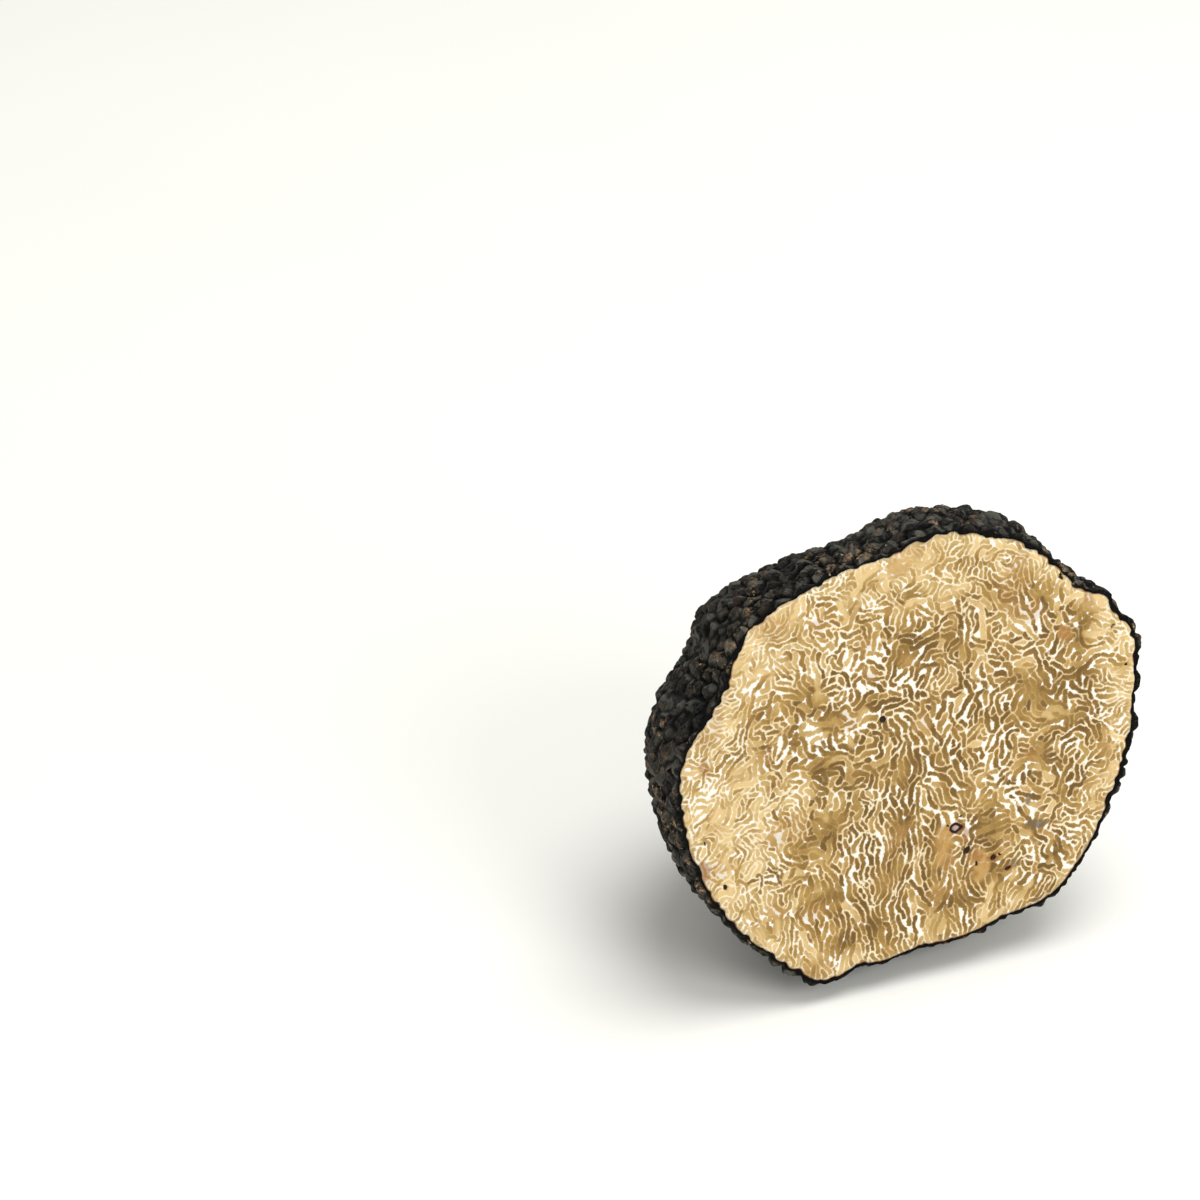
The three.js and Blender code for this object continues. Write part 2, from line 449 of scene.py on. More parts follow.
deeper = smooth_between(0, EDGE_FADE, down)
wall = flesh_edge(angle) * (1 - deeper) + (reach(ways) - RIND) * deeper + SLIT
points = ways * np.where(outside, skin, wall)[:, None]
points = stand(points)
points[:, 2] = np.maximum(points[:, 2], np.where(outside, 0, RIND))
place(rind, points)
rind.data.shade_flat()
store(rind, "crest", crest)
store(rind, "wart_tone", wart_random[wart, 4])
# The facet numbers pick the facets that are painted light, as glints.
store(rind, "facet_glint", facet_glint)
print("rind:", len(rind.data.polygons), "faces")

# %% [markdown]
# ## The flesh's mesh
#
# The flesh fills the rind, and its cut face is what the eye goes to. A square grid is laid out and
# pressed into a disc, because a grid keeps its cells the same size all over. A fan of triangles
# round a middle point would be far too fine there and too coarse at the rim. The open edge of the
# disc is then pulled down behind it, as the rind's was.

# %% Grid, and the dome behind it
GRID = 300  # cells along each side of the face
DOME_RINGS = 7  # rows of faces behind the face

bm = bmesh.new()
bmesh.ops.create_grid(bm, x_segments=GRID, y_segments=GRID, size=1.0)
ring = boundary(bm)
for step in range(DOME_RINGS):
    ring = pull_ring(bm, ring, lambda co: co + Vector((0, 0, -1)))
pole = {vert for edge in ring for vert in edge.verts}
bmesh.ops.pointmerge(bm, verts=list(pole), merge_co=(0, 0, -DOME_RINGS))
flesh, laid = finished("marbled_flesh", bm)


# %% Press the square into a disc
def square_to_disc(across, up):
    """Radius and angle of a point of the square, so that equal cells stay equal."""
    wide = np.abs(across) > np.abs(up)
    long = np.where(wide, across, up)
    short = np.where(wide, up, across)
    lean = np.divide(short, long, out=np.zeros_like(long), where=long != 0) * math.pi / 4
    turned = np.where(wide, lean, math.pi / 2 - lean)
    return np.abs(long), np.where(long < 0, turned + math.pi, turned)


radius, angle = square_to_disc(laid[:, 0], laid[:, 1])
on_face = laid[:, 2] > -0.5
edge = flesh_edge(angle)
face_u = radius * edge * np.cos(angle)
face_v = radius * edge * np.sin(angle)
down = np.where(on_face, 0, -laid[:, 2] / DOME_RINGS * math.pi / 2)
ways = ways_at(angle, down)
print("flesh:", len(laid), "corners,", int(on_face.sum()), "of them on the face")

# %% [markdown]
# ## The marbling
#
# Olive brown ribbons wind through the flesh, packed side by side, with round ends. A thin cream line
# runs between neighbours, and where round ends leave a gap it opens into a small white star. A noise
# texture gives clouds, not ribbons. So the ribbons are grown: a stroke starts beside an earlier one,
# follows a wandering direction, and stops when it is long enough or comes near another. Some ends
# run on into their neighbour, so the ribbons branch. Their spacing and direction are steered in
# places: finer towards the rim, and running up the face at the bottom.
#
# A line is thinner than the cells of the mesh, so it can't be stored as a colour on their corners.
# What is stored is how far a corner is from the strokes. Six inks are shared out so that strokes
# that touch differ, and each ink has its own distance. Each distance changes evenly from corner to
# corner, so the material can draw a sharp line where the two shortest are nearly equal.

# %% Random fields on the plane of the face
CELL = 0.1  # mm between samples
CELLS = 576  # along each side of the plane
plane = (np.arange(CELLS) - CELLS / 2) * CELL
plane_u, plane_v = np.meshgrid(plane, plane)
waves_u, waves_v = np.meshgrid(np.fft.fftfreq(CELLS, CELL), np.fft.fftfreq(CELLS, CELL))
waves = np.hypot(waves_u, waves_v)


def blurred(field, width):
    return np.fft.ifft2(np.fft.fft2(field) * np.exp(-2 * (math.pi * waves * width) ** 2)).real


def clouds(width, seed):
    """A soft random field with bumps of about that width, mean 0 and spread 1."""
    field = blurred(np.random.default_rng(seed).standard_normal((CELLS, CELLS)), width)
    return field / field.std()


def at_corners(field):
    """The field's value at each corner of the flesh."""
    x = np.clip(face_u / CELL + CELLS / 2, 0, CELLS - 1.001)
    y = np.clip(face_v / CELL + CELLS / 2, 0, CELLS - 1.001)
    left, low = x.astype(int), y.astype(int)
    x, y = x - left, y - low
    below = field[low, left] * (1 - x) + field[low, left + 1] * x
    above = field[low + 1, left] * (1 - x) + field[low + 1, left + 1] * x
    return below * (1 - y) + above * y


def clouds_here(width, seed):
    return at_corners(clouds(width, seed))


# %% Where the marbling changes
SPACING = 0.6  # mm from the middle of one ribbon to the middle of the next
inward = edge_radius(np.arctan2(plane_v, plane_u)) - np.hypot(plane_u, plane_v)
rim_zone = smooth_between(5.0, 0.5, inward + 0.9 * clouds(2.2, 3))
rim_zone *= 1 - 0.65 * low_rim(np.arctan2(plane_v, plane_u))
left_zone = smooth_between(-8, -18, plane_u + 2.0 * clouds(3, 5))
top_zone = smooth_between(13, 19, plane_v + 1.0 * clouds(2, 6))
pale = 1 - (1 - rim_zone) * (1 - 0.8 * left_zone) * (1 - 0.7 * top_zone)
upward = np.exp(-(((plane_u + 3) / 14) ** 2) - ((plane_v + 17) / 12) ** 2)
upward = smooth_between(0.3, 0.8, upward + 0.12 * clouds(3, 8)) * (1 - 0.5 * rim_zone)
spacing = SPACING * (1 - 0.25 * pale)

# %% Which way the ribbons run
RUN_UP = math.pi / 2 + 0.08  # the way they run at the bottom, in radians from across
# A ribbon has no front or back, so its way is kept as a doubled angle, which blends without a jump.
wander = [(clouds(0.6, seed) + 0.6 * clouds(2.5, seed + 2)) * (1 - 0.6 * upward) for seed in (101, 102)]
doubled_u = wander[0] + 2.5 * upward * math.cos(2 * RUN_UP)
doubled_v = wander[1] + 2.5 * upward * math.sin(2 * RUN_UP)
way = np.arctan2(doubled_v, doubled_u) / 2 + 0.65 * (1 - 0.45 * upward) * clouds(0.4, 105)

# %% Helpers for growing ribbons
STROKE_STEP = 0.1  # mm between the points of a stroke
LENGTHS = (1.4, 9.0)  # mm
JOINED = 0.35  # share of ends that run on into a neighbour
FREE_END, JOINED_END = 0.78, 0.45  # how near an end comes to another stroke, in spacings
START_ROOM = 0.96  # how far a new stroke starts from the others, in spacings
NEAR = 9  # cells round a stroke that know of it
OWN_TAIL = 8  # latest points of its own that a stroke needn't keep away from
OVERHANG = 0.3  # mm that strokes run on past the edge of the flesh
near_stroke = np.full((CELLS, CELLS), FAR_OFF)  # mm to the nearest stroke so far
chance = np.random.default_rng(7)
strokes, joined_ends = [], []


def cell_of(u, v):
    return int(v / CELL + CELLS / 2 + 0.5), int(u / CELL + CELLS / 2 + 0.5)


def around(u, v, cells):
    """The cells round a place, and their distance from it in mm."""
    y, x = cell_of(u, v)
    here = (slice(y - cells, y + cells + 1), slice(x - cells, x + cells + 1))
    return here, np.hypot(plane_u[here] - u, plane_v[here] - v)


def room(u, v):
    """Distance to the nearest stroke in spacings, and 0 off the face."""
    y, x = cell_of(u, v)
    return near_stroke[y, x] / spacing[y, x] if inward[y, x] > -OVERHANG else 0.0


def walk(u, v, sign, length, least, behind):
    """Half a stroke: steps along the field of ways until it is long enough or something is near."""
    y, x = cell_of(u, v)
    step = (sign * math.cos(way[y, x]), sign * math.sin(way[y, x]))
    line = []
    for _ in range(int(length / 2 / STROKE_STEP)):
        y, x = cell_of(u, v)
        turn = (math.cos(way[y, x]), math.sin(way[y, x]))
        forward = math.copysign(1, turn[0] * step[0] + turn[1] * step[1])
        step = (step[0] + forward * turn[0], step[1] + forward * turn[1])
        size = math.hypot(*step)
        step = (step[0] / size, step[1] / size)
        u, v = u + STROKE_STEP * step[0], v + STROKE_STEP * step[1]
        past = np.array(behind + line[:-OWN_TAIL]) if len(line) > OWN_TAIL + 1 else None
        if room(u, v) < least:
            break
        if past is not None and np.hypot(*(past - (u, v)).T).min() < least * SPACING:
            break
        line.append((u, v))
    return line


def sprout(u, v, least=START_ROOM):
    """Starts a stroke at a place, if there is room."""
    if room(u, v) <= least:
        return
    length = LENGTHS[0] + (LENGTHS[1] - LENGTHS[0]) * chance.random() ** 1.5
    halves = []
    for sign in (1, -1):
        joins = chance.random() < JOINED
        halves.append(walk(u, v, sign, length, JOINED_END if joins else FREE_END, sum(halves, [])))
        joined_ends.extend(halves[-1][-1:] if joins else [])
    line = np.array(halves[1][::-1] + [(u, v)] + halves[0])
    for place_u, place_v in line:
        here, far = around(place_u, place_v, NEAR)
        near_stroke[here] = np.minimum(near_stroke[here], far)
    strokes.append(line)


# %% Grow the ribbons
FACE_BOX = ((-27, -25), (27, 25))  # two corners of a box round the face, in mm
FIRST_PLACES, LAST_PLACES = 60, 20000  # random places tried before and after all others
LEFT_ROOM = 0.9  # the starting distance, in spacings, when only gaps are left

for u, v in chance.uniform(*FACE_BOX, (FIRST_PLACES, 2)):
    sprout(u, v)
for line in strokes:  # this list grows while it is read
    for k in range(0, len(line), 3):
        u, v = line[k]
        along = line[min(k + 1, len(line) - 1)] - line[max(k - 1, 0)]
        along = along / max(np.hypot(*along), 1e-9)
        for side in (1, -1):
            gap = side * spacing[cell_of(u, v)] * (1 + 0.12 * chance.random())
            sprout(u - gap * along[1], v + gap * along[0])
    for end, before in ((line[0], line[:4][-1]), (line[-1], line[-4:][0])):
        along = (end - before) / max(np.hypot(*(end - before)), 1e-9)
        sprout(*(end + 1.05 * spacing[cell_of(*end)] * along))
for u, v in chance.uniform(*FACE_BOX, (LAST_PLACES, 2)):
    sprout(u, v, LEFT_ROOM)
print(len(strokes), "ribbons,", len(joined_ends), "joined ends")

# %% Find which ribbons touch, and share out the inks
INKS = 6
owner = np.full((CELLS, CELLS), -1)
nearest = np.full((CELLS, CELLS), FAR_OFF)
for number, line in enumerate(strokes):
    for u, v in line:
        here, far = around(u, v, NEAR)
        closer = far < nearest[here]
        nearest[here][closer] = far[closer]
        owner[here][closer] = number
touching = [set() for _ in strokes]
# Two strokes touch if cells side by side, or three apart, belong to the two of them.
for rows, columns in ((0, 1), (1, 0), (1, 1), (0, 3), (3, 0), (3, 3)):
    for first, second in (
        (owner[: CELLS - rows, : CELLS - columns], owner[rows:, columns:]),
        (owner[: CELLS - rows, columns:], owner[rows:, : CELLS - columns]),
    ):
        differ = (first != second) & (first >= 0) & (second >= 0)
        for one, other in set(zip(first[differ].tolist(), second[differ].tolist())):
            touching[one].add(other)
            touching[other].add(one)
ink = [-1] * len(strokes)
for number in sorted(range(len(strokes)), key=lambda n: -len(touching[n])):
    used = [sum(ink[other] == k for other in touching[number]) for k in range(INKS)]
    ink[number] = used.index(min(used))

# %% Distances from each ink, and where ends are joined
LONGEST = 1.2  # mm, and no stored distance is longer
ENDS_APART = 0.7  # mm between one joined end and the next
JOIN_SIZE = 0.24  # mm round a joined end over which the line is lost
inked = np.full((INKS, CELLS, CELLS), LONGEST)
for number, line in enumerate(strokes):
    for u, v in line:
        here, far = around(u, v, NEAR + 3)
        inked[ink[number]][here] = np.minimum(inked[ink[number]][here], far)
joined = np.zeros((CELLS, CELLS))
kept_ends = np.empty((0, 2))
for end in joined_ends:
    # Where many ends meet only one is joined, or the lines there would all be lost.
    if len(kept_ends) and np.hypot(*(kept_ends - end).T).min() < ENDS_APART:
        continue
    kept_ends = np.vstack([kept_ends, end])
    here, far = around(*end, NEAR)
    joined[here] = np.maximum(joined[here], np.exp(-((far / JOIN_SIZE) ** 2)))
print("ribbons fill", round(100 * float((nearest < 0.3)[inward > 0].mean())), "% of the face")

# %% [markdown]
# ## Holes and stains
#
# A few marks make this half this one: a grub's tunnel with a dark red-brown wall and a pale plug,
# small dark pits, smooth ochre patches where the ribbons have grown together, rusty spots and grey
# smudges. They are placed on the face one by one, in millimetres from its middle.

# %% Marks on the face
TUNNEL = (4.1, -9.4)  # across and up
TUNNEL_RADIUS = (0.62, 0.48)
TUNNEL_POWER = 1.3  # below 2, which makes the tunnel angular
# Across, up and radius of each pit.
PITS = [
    (-3.5, 4.4, 0.36), (5.2, -12.3, 0.42), (8.2, -13.7, 0.42), (6.1, -13.9, 0.26), (9.1, -13.5, 0.2),
    (9.9, -15.3, 0.3), (-22.4, -10.3, 0.24), (18.1, 16.3, 0.26), (-24.2, -5.0, 0.2), (25.0, 5.1, 0.26),
    (23.5, 9.7, 0.2), (4.6, -8.2, 0.16), (3.2, -9.1, 0.16),
]
# Across, up, half width, half height and strength of each patch, stain and grey smudge.
SMOOTH_PATCHES = [
    (2.7, -11.3, 1.1, 2.7, 1.0), (6.6, -14.2, 1.1, 1.9, 1.0), (1.5, -16.2, 0.8, 1.1, 0.8),
    (1.0, 3.4, 1.3, 1.2, 0.5), (13.6, -3.0, 1.0, 0.8, 0.6), (17.9, 10.0, 0.8, 0.9, 0.9),
]
STAINS = [
    (5.0, -10.4, 0.5, 0.9, 0.6), (8.2, -13.7, 0.7, 0.5, 0.8), (6.2, -13.2, 1.0, 0.6, 0.5),
    (9.9, -15.3, 0.5, 0.4, 0.8), (17.9, 10.0, 0.7, 0.6, 0.5), (-24.5, -8.0, 0.7, 1.1, 0.6),
    (-7.4, -22.6, 0.6, 0.5, 0.8), (-23.6, 3.5, 0.5, 0.9, 0.5), (20.9, 13.2, 0.5, 0.8, 0.4),
]
SMOKY = [
    (13.3, -10.9, 1.15, 0.45, 0.9), (10.5, -15.1, 0.7, 0.6, 0.6), (12.6, -7.9, 0.4, 0.7, 0.7),
]

# %% Where the marks lie among the flesh's corners
ragged_u = face_u + 0.12 * clouds_here(0.3, 51)
ragged_v = face_v + 0.12 * clouds_here(0.3, 52)


def marked(marks):
    """1 inside each mark to 0 outside it, with ragged edges."""
    total = np.zeros_like(face_u)
    for mark_u, mark_v, wide, tall, strength in marks:
        away = np.hypot((ragged_u - mark_u) / wide, (ragged_v - mark_v) / tall)
        total = np.maximum(total, strength * smooth_between(1.25, 0.75, away))
    return total


tunnel_u = face_u + 0.06 * clouds_here(0.2, 53)
tunnel_across = np.abs((tunnel_u - TUNNEL[0]) / TUNNEL_RADIUS[0]) ** TUNNEL_POWER
tunnel_up = np.abs((face_v - TUNNEL[1]) / TUNNEL_RADIUS[1]) ** TUNNEL_POWER
tunnel_far = (tunnel_across + tunnel_up) ** (1 / TUNNEL_POWER)
pits = marked([(u, v, size, size, 1.0) for u, v, size in PITS])
print("corners in pits:", int((pits > 0.5).sum()))

# %% Move the flesh's corners to their places
LINE_HIGH = 0.03  # mm that the cream lines stand over the ribbons
SWELL = 0.05  # mm that the face swells and sinks
DENT = 0.25  # mm, the depth of the pits and of the ring round the tunnel's plug
EDGE_DROP = 0.12  # mm that the very edge of the face is rounded off
ink_here = np.stack([at_corners(field) for field in inked], axis=1)
relief = LINE_HIGH * smooth_between(0.15, 0.35, ink_here.min(axis=1))
relief += SWELL * clouds_here(1.6, 41)
tunnel_ring = np.exp(-(((tunnel_far - 1) / 0.4) ** 2))
relief -= DENT * (pits + tunnel_ring) + EDGE_DROP * smooth_between(0.97, 1.0, radius)
deeper = smooth_between(0, EDGE_FADE, down)
wall = edge * (1 - deeper) + (reach(ways) - RIND - SLIT) * deeper
face_points = np.stack([face_u, face_v, relief], axis=1)
points = stand(np.where(on_face[:, None], face_points, ways * wall[:, None]))
points[:, 2] = np.maximum(points[:, 2], RIND + SLIT)
place(flesh, points)
print("the face's relief:", round(float(np.ptp(relief)), 2), "mm")


# %% Tones of the ribbons, and how wide the lines and stars are
LINE = 0.054  # mm, half the width of a line
STAR = 0.578  # a star starts this far from the nearest stroke, in spacings
GOLDEN = 0.16  # share of ribbons that are golden
# Places on the face where a star is sure to open, in mm.
STARS = [(-2.3, 12.4), (7.6, 11.8), (-15.4, -15.0), (-21.0, -6.9), (13.7, -3.6), (11.1, -7.7), (-5.6, 4.3)]

ribbon_tones = 0.2 * chance.standard_normal(len(strokes)) + 0.5 * (chance.random(len(strokes)) < GOLDEN)
ribbon_tone = at_corners(blurred(ribbon_tones[owner], 0.06))
ribbon_tone += 0.12 * clouds_here(0.5, 21) + 0.06 * clouds_here(1.3, 24) + 0.06 * clouds_here(2.6, 22)
pale_here, joined_here = at_corners(pale), at_corners(joined)
sure = sum(np.exp(-((face_u - u) ** 2 + (face_v - v) ** 2) / 0.6**2) for u, v in STARS)
line_change = clouds_here(0.8, 29)
for name, inks in (("inks_a", ink_here[:, :3]), ("inks_b", ink_here[:, 3:])):
    layer = flesh.data.attributes.new(name, "FLOAT_VECTOR", "POINT")
    layer.data.foreach_set("vector", inks.astype(np.float32).ravel())
store(flesh, "ribbon_tone", 0.28 + ribbon_tone + 0.72 * pale_here - 0.05 * at_corners(upward))
store(flesh, "line_width", LINE * (1 + 0.25 * line_change) - 0.16 * joined_here)
store(flesh, "line_tone", 0.5 + 0.32 * line_change + 0.35 * pale_here)
star_start = STAR + 0.3 * joined_here - 0.1 * clouds_here(0.7, 23) - 0.28 * sure
store(flesh, "star_start", at_corners(spacing) * star_start)

# %% Store the marks
golden = smooth_between(1.1, 1.9, clouds_here(1.1, 44))
store(flesh, "smooth_patch", np.maximum(0.5 * golden, marked(SMOOTH_PATCHES)))
store(flesh, "rim_line", smooth_between(0.5, 0.0, edge * (1 - radius)))
store(flesh, "tunnel", tunnel_far)
store(flesh, "pit", np.where(on_face, pits, 0))
store(flesh, "stain", np.where(on_face, marked(STAINS), 0))
store(flesh, "smoky", marked(SMOKY))
print("flesh:", len(flesh.data.polygons), "faces")

# %% [markdown]
# ## Materials
#
# Both materials are built from nodes. Small helpers keep that readable: one reads a number that was
# stored on the corners, one mixes two colours, one bends a number through a ramp.


# %% Helpers for materials
TISSUE_SHARE = 0.86  # to which the truffle's colours are darkened


def new_material(name):
    material = bpy.data.materials.new(name)
    material.use_nodes = True
    tree = material.node_tree
    tree.nodes.clear()
    shader = tree.nodes.new("ShaderNodeBsdfPrincipled")
    output = tree.nodes.new("ShaderNodeOutputMaterial")
    tree.links.new(shader.outputs["BSDF"], output.inputs["Surface"])
    return material, tree, shader


def linear(colour):
    """Screen colour, 0 to 255, as the linear colour that shaders use."""
    share = [c / 255 for c in colour]
    return tuple(c / 12.92 if c <= 0.04045 else ((c + 0.055) / 1.055) ** 2.4 for c in share) + (1.0,)


def tissue(colour):
    """A truffle's screen colour, darkened because the light is strong enough to turn the table white."""
    return tuple(TISSUE_SHARE * c for c in linear(colour)[:3]) + (1.0,)


def stored(tree, name):
    node = tree.nodes.new("ShaderNodeAttribute")
    node.attribute_name = name
    return node.outputs["Fac"]


def plug(tree, socket, value):
    """Links a socket, or sets it when the value is a plain number or colour."""
    if isinstance(value, bpy.types.NodeSocket):
        tree.links.new(value, socket)
    else:
        socket.default_value = value


def mixed(tree, share, first, second):
    """The first colour at a share of 0, to the second at 1."""
    node = tree.nodes.new("ShaderNodeMix")
    node.data_type = "RGBA"
    node.clamp_factor = True
    plug(tree, node.inputs["Factor"], share)
    plug(tree, node.inputs["A"], first)
    plug(tree, node.inputs["B"], second)
    return node.outputs["Result"]


def maths(tree, operation, first, second=0.0, third=0.0):
    node = tree.nodes.new("ShaderNodeMath")
    node.operation = operation
    for socket, value in zip(node.inputs, (first, second, third)):
        plug(tree, socket, value)
    return node.outputs["Value"]


def ranged(tree, value, low, high, to_low=0.0, to_high=1.0, way="SMOOTHSTEP"):
    """Maps low..high to to_low..to_high and holds it there."""
    node = tree.nodes.new("ShaderNodeMapRange")
    node.interpolation_type = way
    plug(tree, node.inputs["Value"], value)
    for name, number in (("From Min", low), ("From Max", high), ("To Min", to_low), ("To Max", to_high)):
        node.inputs[name].default_value = number
    return node.outputs["Result"]


def vector_maths(tree, operation, *values):
    node = tree.nodes.new("ShaderNodeVectorMath")
    node.operation = operation
    for socket, value in zip(node.inputs, values):
        plug(tree, socket, value)
    return node.outputs["Vector"]


def centred(tree, value, times):
    """A noise value turned to run about zero."""
    return maths(tree, "MULTIPLY_ADD", value, times, -0.5 * times)


def ramp(tree, value, *stops):
    """Colours along a number. A stop is a number and its colour, from low to high."""
    low, high = stops[0][0], stops[-1][0]
    node = tree.nodes.new("ShaderNodeValToRGB")
    tree.links.new(ranged(tree, value, low, high, way="LINEAR"), node.inputs["Fac"])
    elements = node.color_ramp.elements
    elements[0].color, elements[1].color = stops[0][1], stops[-1][1]
    for number, colour in stops[1:-1]:
        elements.new((number - low) / (high - low)).color = colour
    return node.outputs["Color"]


def place_on_piece(tree):
    return tree.nodes.new("ShaderNodeTexCoord").outputs["Object"]


def cloudy(tree, size, detail=2.0, rough=0.5, stretch=None, give="Fac"):
    """Noise with bumps of about that size in mm."""
    node = tree.nodes.new("ShaderNodeTexNoise")
    where = place_on_piece(tree)
    if stretch is not None:
        mapping = tree.nodes.new("ShaderNodeMapping")
        mapping.inputs["Scale"].default_value = stretch
        tree.links.new(where, mapping.inputs["Vector"])
        where = mapping.outputs["Vector"]
    tree.links.new(where, node.inputs["Vector"])
    node.inputs["Scale"].default_value = 1 / (size * MM)
    node.inputs["Detail"].default_value = detail
    node.inputs["Roughness"].default_value = rough
    return node.outputs[give]


def bumped(tree, shader, height, depth_mm):
    node = tree.nodes.new("ShaderNodeBump")
    node.inputs["Strength"].default_value = 1.0
    node.inputs["Distance"].default_value = depth_mm * MM
    tree.links.new(height, node.inputs["Height"])
    tree.links.new(node.outputs["Normal"], shader.inputs["Normal"])


# %% [markdown]
# ### Rind
#
# The rind is charcoal, not plain black. Painted shade makes the grooves darkest, some facets of the
# warts are painted light as glints, some warts are browner, and pale brown soil and a few tan flecks
# cling to the crests. It is dry and gritty, with a faint sheen on the facets.

# %% Rind colours
# Painted shade: the groove colour darkens the hollows between the warts.
SKIN_GROOVE_SHADE = tissue((2, 2, 2))
SKIN_LOW = tissue((3, 3, 3))
# The high colour is partly the skin's random grit and partly painted glints on bright facets.
SKIN_HIGH_AND_GLINT = tissue((98, 97, 89))
SKIN_BROWN = tissue((58, 48, 40))
SOIL = tissue((168, 142, 112))
SOIL_DARK = tissue((90, 73, 56))
FLECK = tissue((226, 198, 156))

# %% Rind material
rind_material, tree, shader = new_material("black_warty_skin")
crest_value = stored(tree, "crest")
grit = cloudy(tree, 0.3, 4.0, 0.7)
# Painted glints: bright facets are painted light, over grit that varies the tone at random.
glint_facet = ranged(tree, stored(tree, "facet_glint"), 0.35, 1.0)
facet = maths(tree, "MULTIPLY_ADD", grit, 1.5, maths(tree, "MULTIPLY_ADD", glint_facet, 0.85, -0.65))
tone = mixed(tree, facet, SKIN_LOW, SKIN_HIGH_AND_GLINT)
brown_wart = ranged(tree, stored(tree, "wart_tone"), 0.6, 0.9)
brown = maths(tree, "MULTIPLY", brown_wart, ranged(tree, cloudy(tree, 0.8), 0.4, 0.6))
tone = mixed(tree, brown, tone, SKIN_BROWN)
# Painted shade: the grooves between the warts are darkened to near black.
tone = mixed(tree, ranged(tree, crest_value, 0.1, 1.0), SKIN_GROOVE_SHADE, tone)
soil_zone = ranged(tree, cloudy(tree, 6.0, 3.0), 0.5, 0.64)
soil_grain = ranged(tree, cloudy(tree, 1.2, 4.0, 0.7, (1.0, 1.0, 1.8)), 0.49, 0.58)
soil_share = maths(tree, "MULTIPLY", soil_zone, soil_grain)
soil_share = maths(tree, "MULTIPLY", soil_share, ranged(tree, crest_value, 0.2, 0.7))
tone = mixed(tree, soil_share, tone, mixed(tree, ranged(tree, grit, 0.35, 0.65), SOIL_DARK, SOIL))
flecks = maths(tree, "MULTIPLY", ranged(tree, cloudy(tree, 0.6, 1.0), 0.72, 0.76), soil_zone)
tone = mixed(tree, flecks, tone, FLECK)
tree.links.new(tone, shader.inputs["Base Color"])
tree.links.new(ranged(tree, cloudy(tree, 0.5), 0.3, 0.7, 0.52, 0.75), shader.inputs["Roughness"])
shader.inputs["Specular IOR Level"].default_value = 0.09
splinters = tree.nodes.new("ShaderNodeTexVoronoi")
splinters.inputs["Scale"].default_value = 1 / (0.55 * MM)
tree.links.new(place_on_piece(tree), splinters.inputs["Vector"])
grain = maths(tree, "SUBTRACT", grit, maths(tree, "MULTIPLY", splinters.outputs["Distance"], 0.9))
bumped(tree, shader, grain, 0.22)
rind.data.materials.append(rind_material)

# %% [markdown]
# ### Flesh
#
# The six stored distances are the key. Two sizes of noise are added to them first, so that the lines
# are ragged as in real flesh. The two shortest are then picked out. Where they are nearly equal a
# point is in a cream line, and where even the shortest is long it is in a white star. Elsewhere it
# is in a ribbon, which is a little paler beside the cream.

# %% Flesh colours
RIBBON_BROWN = tissue((120, 90, 40))
RIBBON_UMBER = tissue((146, 112, 54))
RIBBON_OCHRE = tissue((182, 146, 79))
RIBBON_TAN = tissue((214, 182, 122))
RIBBON_GOLD = tissue((238, 206, 144))
PATCH_OCHRE = tissue((172, 128, 68))
PATCH_GOLD = tissue((202, 160, 94))
LINE_PEACH = tissue((240, 209, 157))
LINE_CREAM = tissue((252, 238, 204))
STAR_WHITE = tissue((255, 254, 247))
TUNNEL_WALL = tissue((44, 18, 20))
TUNNEL_PLUG = tissue((198, 168, 156))
RUST = tissue((166, 108, 52))
PIT_DARK = tissue((52, 30, 14))
SMOKE = tissue((122, 104, 76))

flesh_material, tree, shader = new_material("marbled_flesh")

# %% The two shortest distances
# The two groups of inks get noise of slightly different sizes, so that it isn't the same noise.
distances = []
for name, sizes in (("inks_a", (0.25, 0.6)), ("inks_b", (0.28, 0.67))):
    node = tree.nodes.new("ShaderNodeAttribute")
    node.attribute_name = name
    ragged_inks = node.outputs["Vector"]
    for size, shake in zip(sizes, (0.28, 0.46)):
        shaken = vector_maths(tree, "SUBTRACT", cloudy(tree, size, 1.0, give="Color"), (0.5, 0.5, 0.5))
        ragged_inks = vector_maths(tree, "MULTIPLY_ADD", shaken, (shake, shake, shake), ragged_inks)
    node = tree.nodes.new("ShaderNodeSeparateXYZ")
    tree.links.new(ragged_inks, node.inputs["Vector"])
    distances += node.outputs[:]
shortest = maths(tree, "MINIMUM", distances[0], distances[1])
second = maths(tree, "MAXIMUM", distances[0], distances[1])
for distance in distances[2:]:
    second = maths(tree, "MINIMUM", second, maths(tree, "MAXIMUM", shortest, distance))
    shortest = maths(tree, "MINIMUM", shortest, distance)

# %% Ribbons, lines and stars
to_line = maths(tree, "MULTIPLY", maths(tree, "SUBTRACT", second, shortest), 0.5)
in_line = maths(tree, "SUBTRACT", stored(tree, "line_width"), to_line)
in_line = maths(tree, "ADD", in_line, centred(tree, cloudy(tree, 0.6, 1.0), 0.14))
in_star = maths(tree, "SUBTRACT", shortest, stored(tree, "star_start"))
inside = maths(tree, "MAXIMUM", in_line, in_star)
star = ranged(tree, in_star, 0.0, 0.07)
tone = maths(tree, "ADD", stored(tree, "ribbon_tone"), centred(tree, cloudy(tree, 0.22, 3.0, 0.65), 0.5))
dark_stops = (0.0, RIBBON_BROWN), (0.3, RIBBON_UMBER), (0.7, RIBBON_OCHRE)
ribbon = ramp(tree, tone, *dark_stops, (1.1, RIBBON_TAN), (1.5, RIBBON_GOLD))
line_tone = stored(tree, "line_tone")
line = ramp(tree, line_tone, (0.0, RIBBON_TAN), (0.45, LINE_PEACH), (0.9, LINE_CREAM))
faint = maths(tree, "MAXIMUM", ranged(tree, line_tone, -0.1, 0.6, 0.35, 1.0), star)
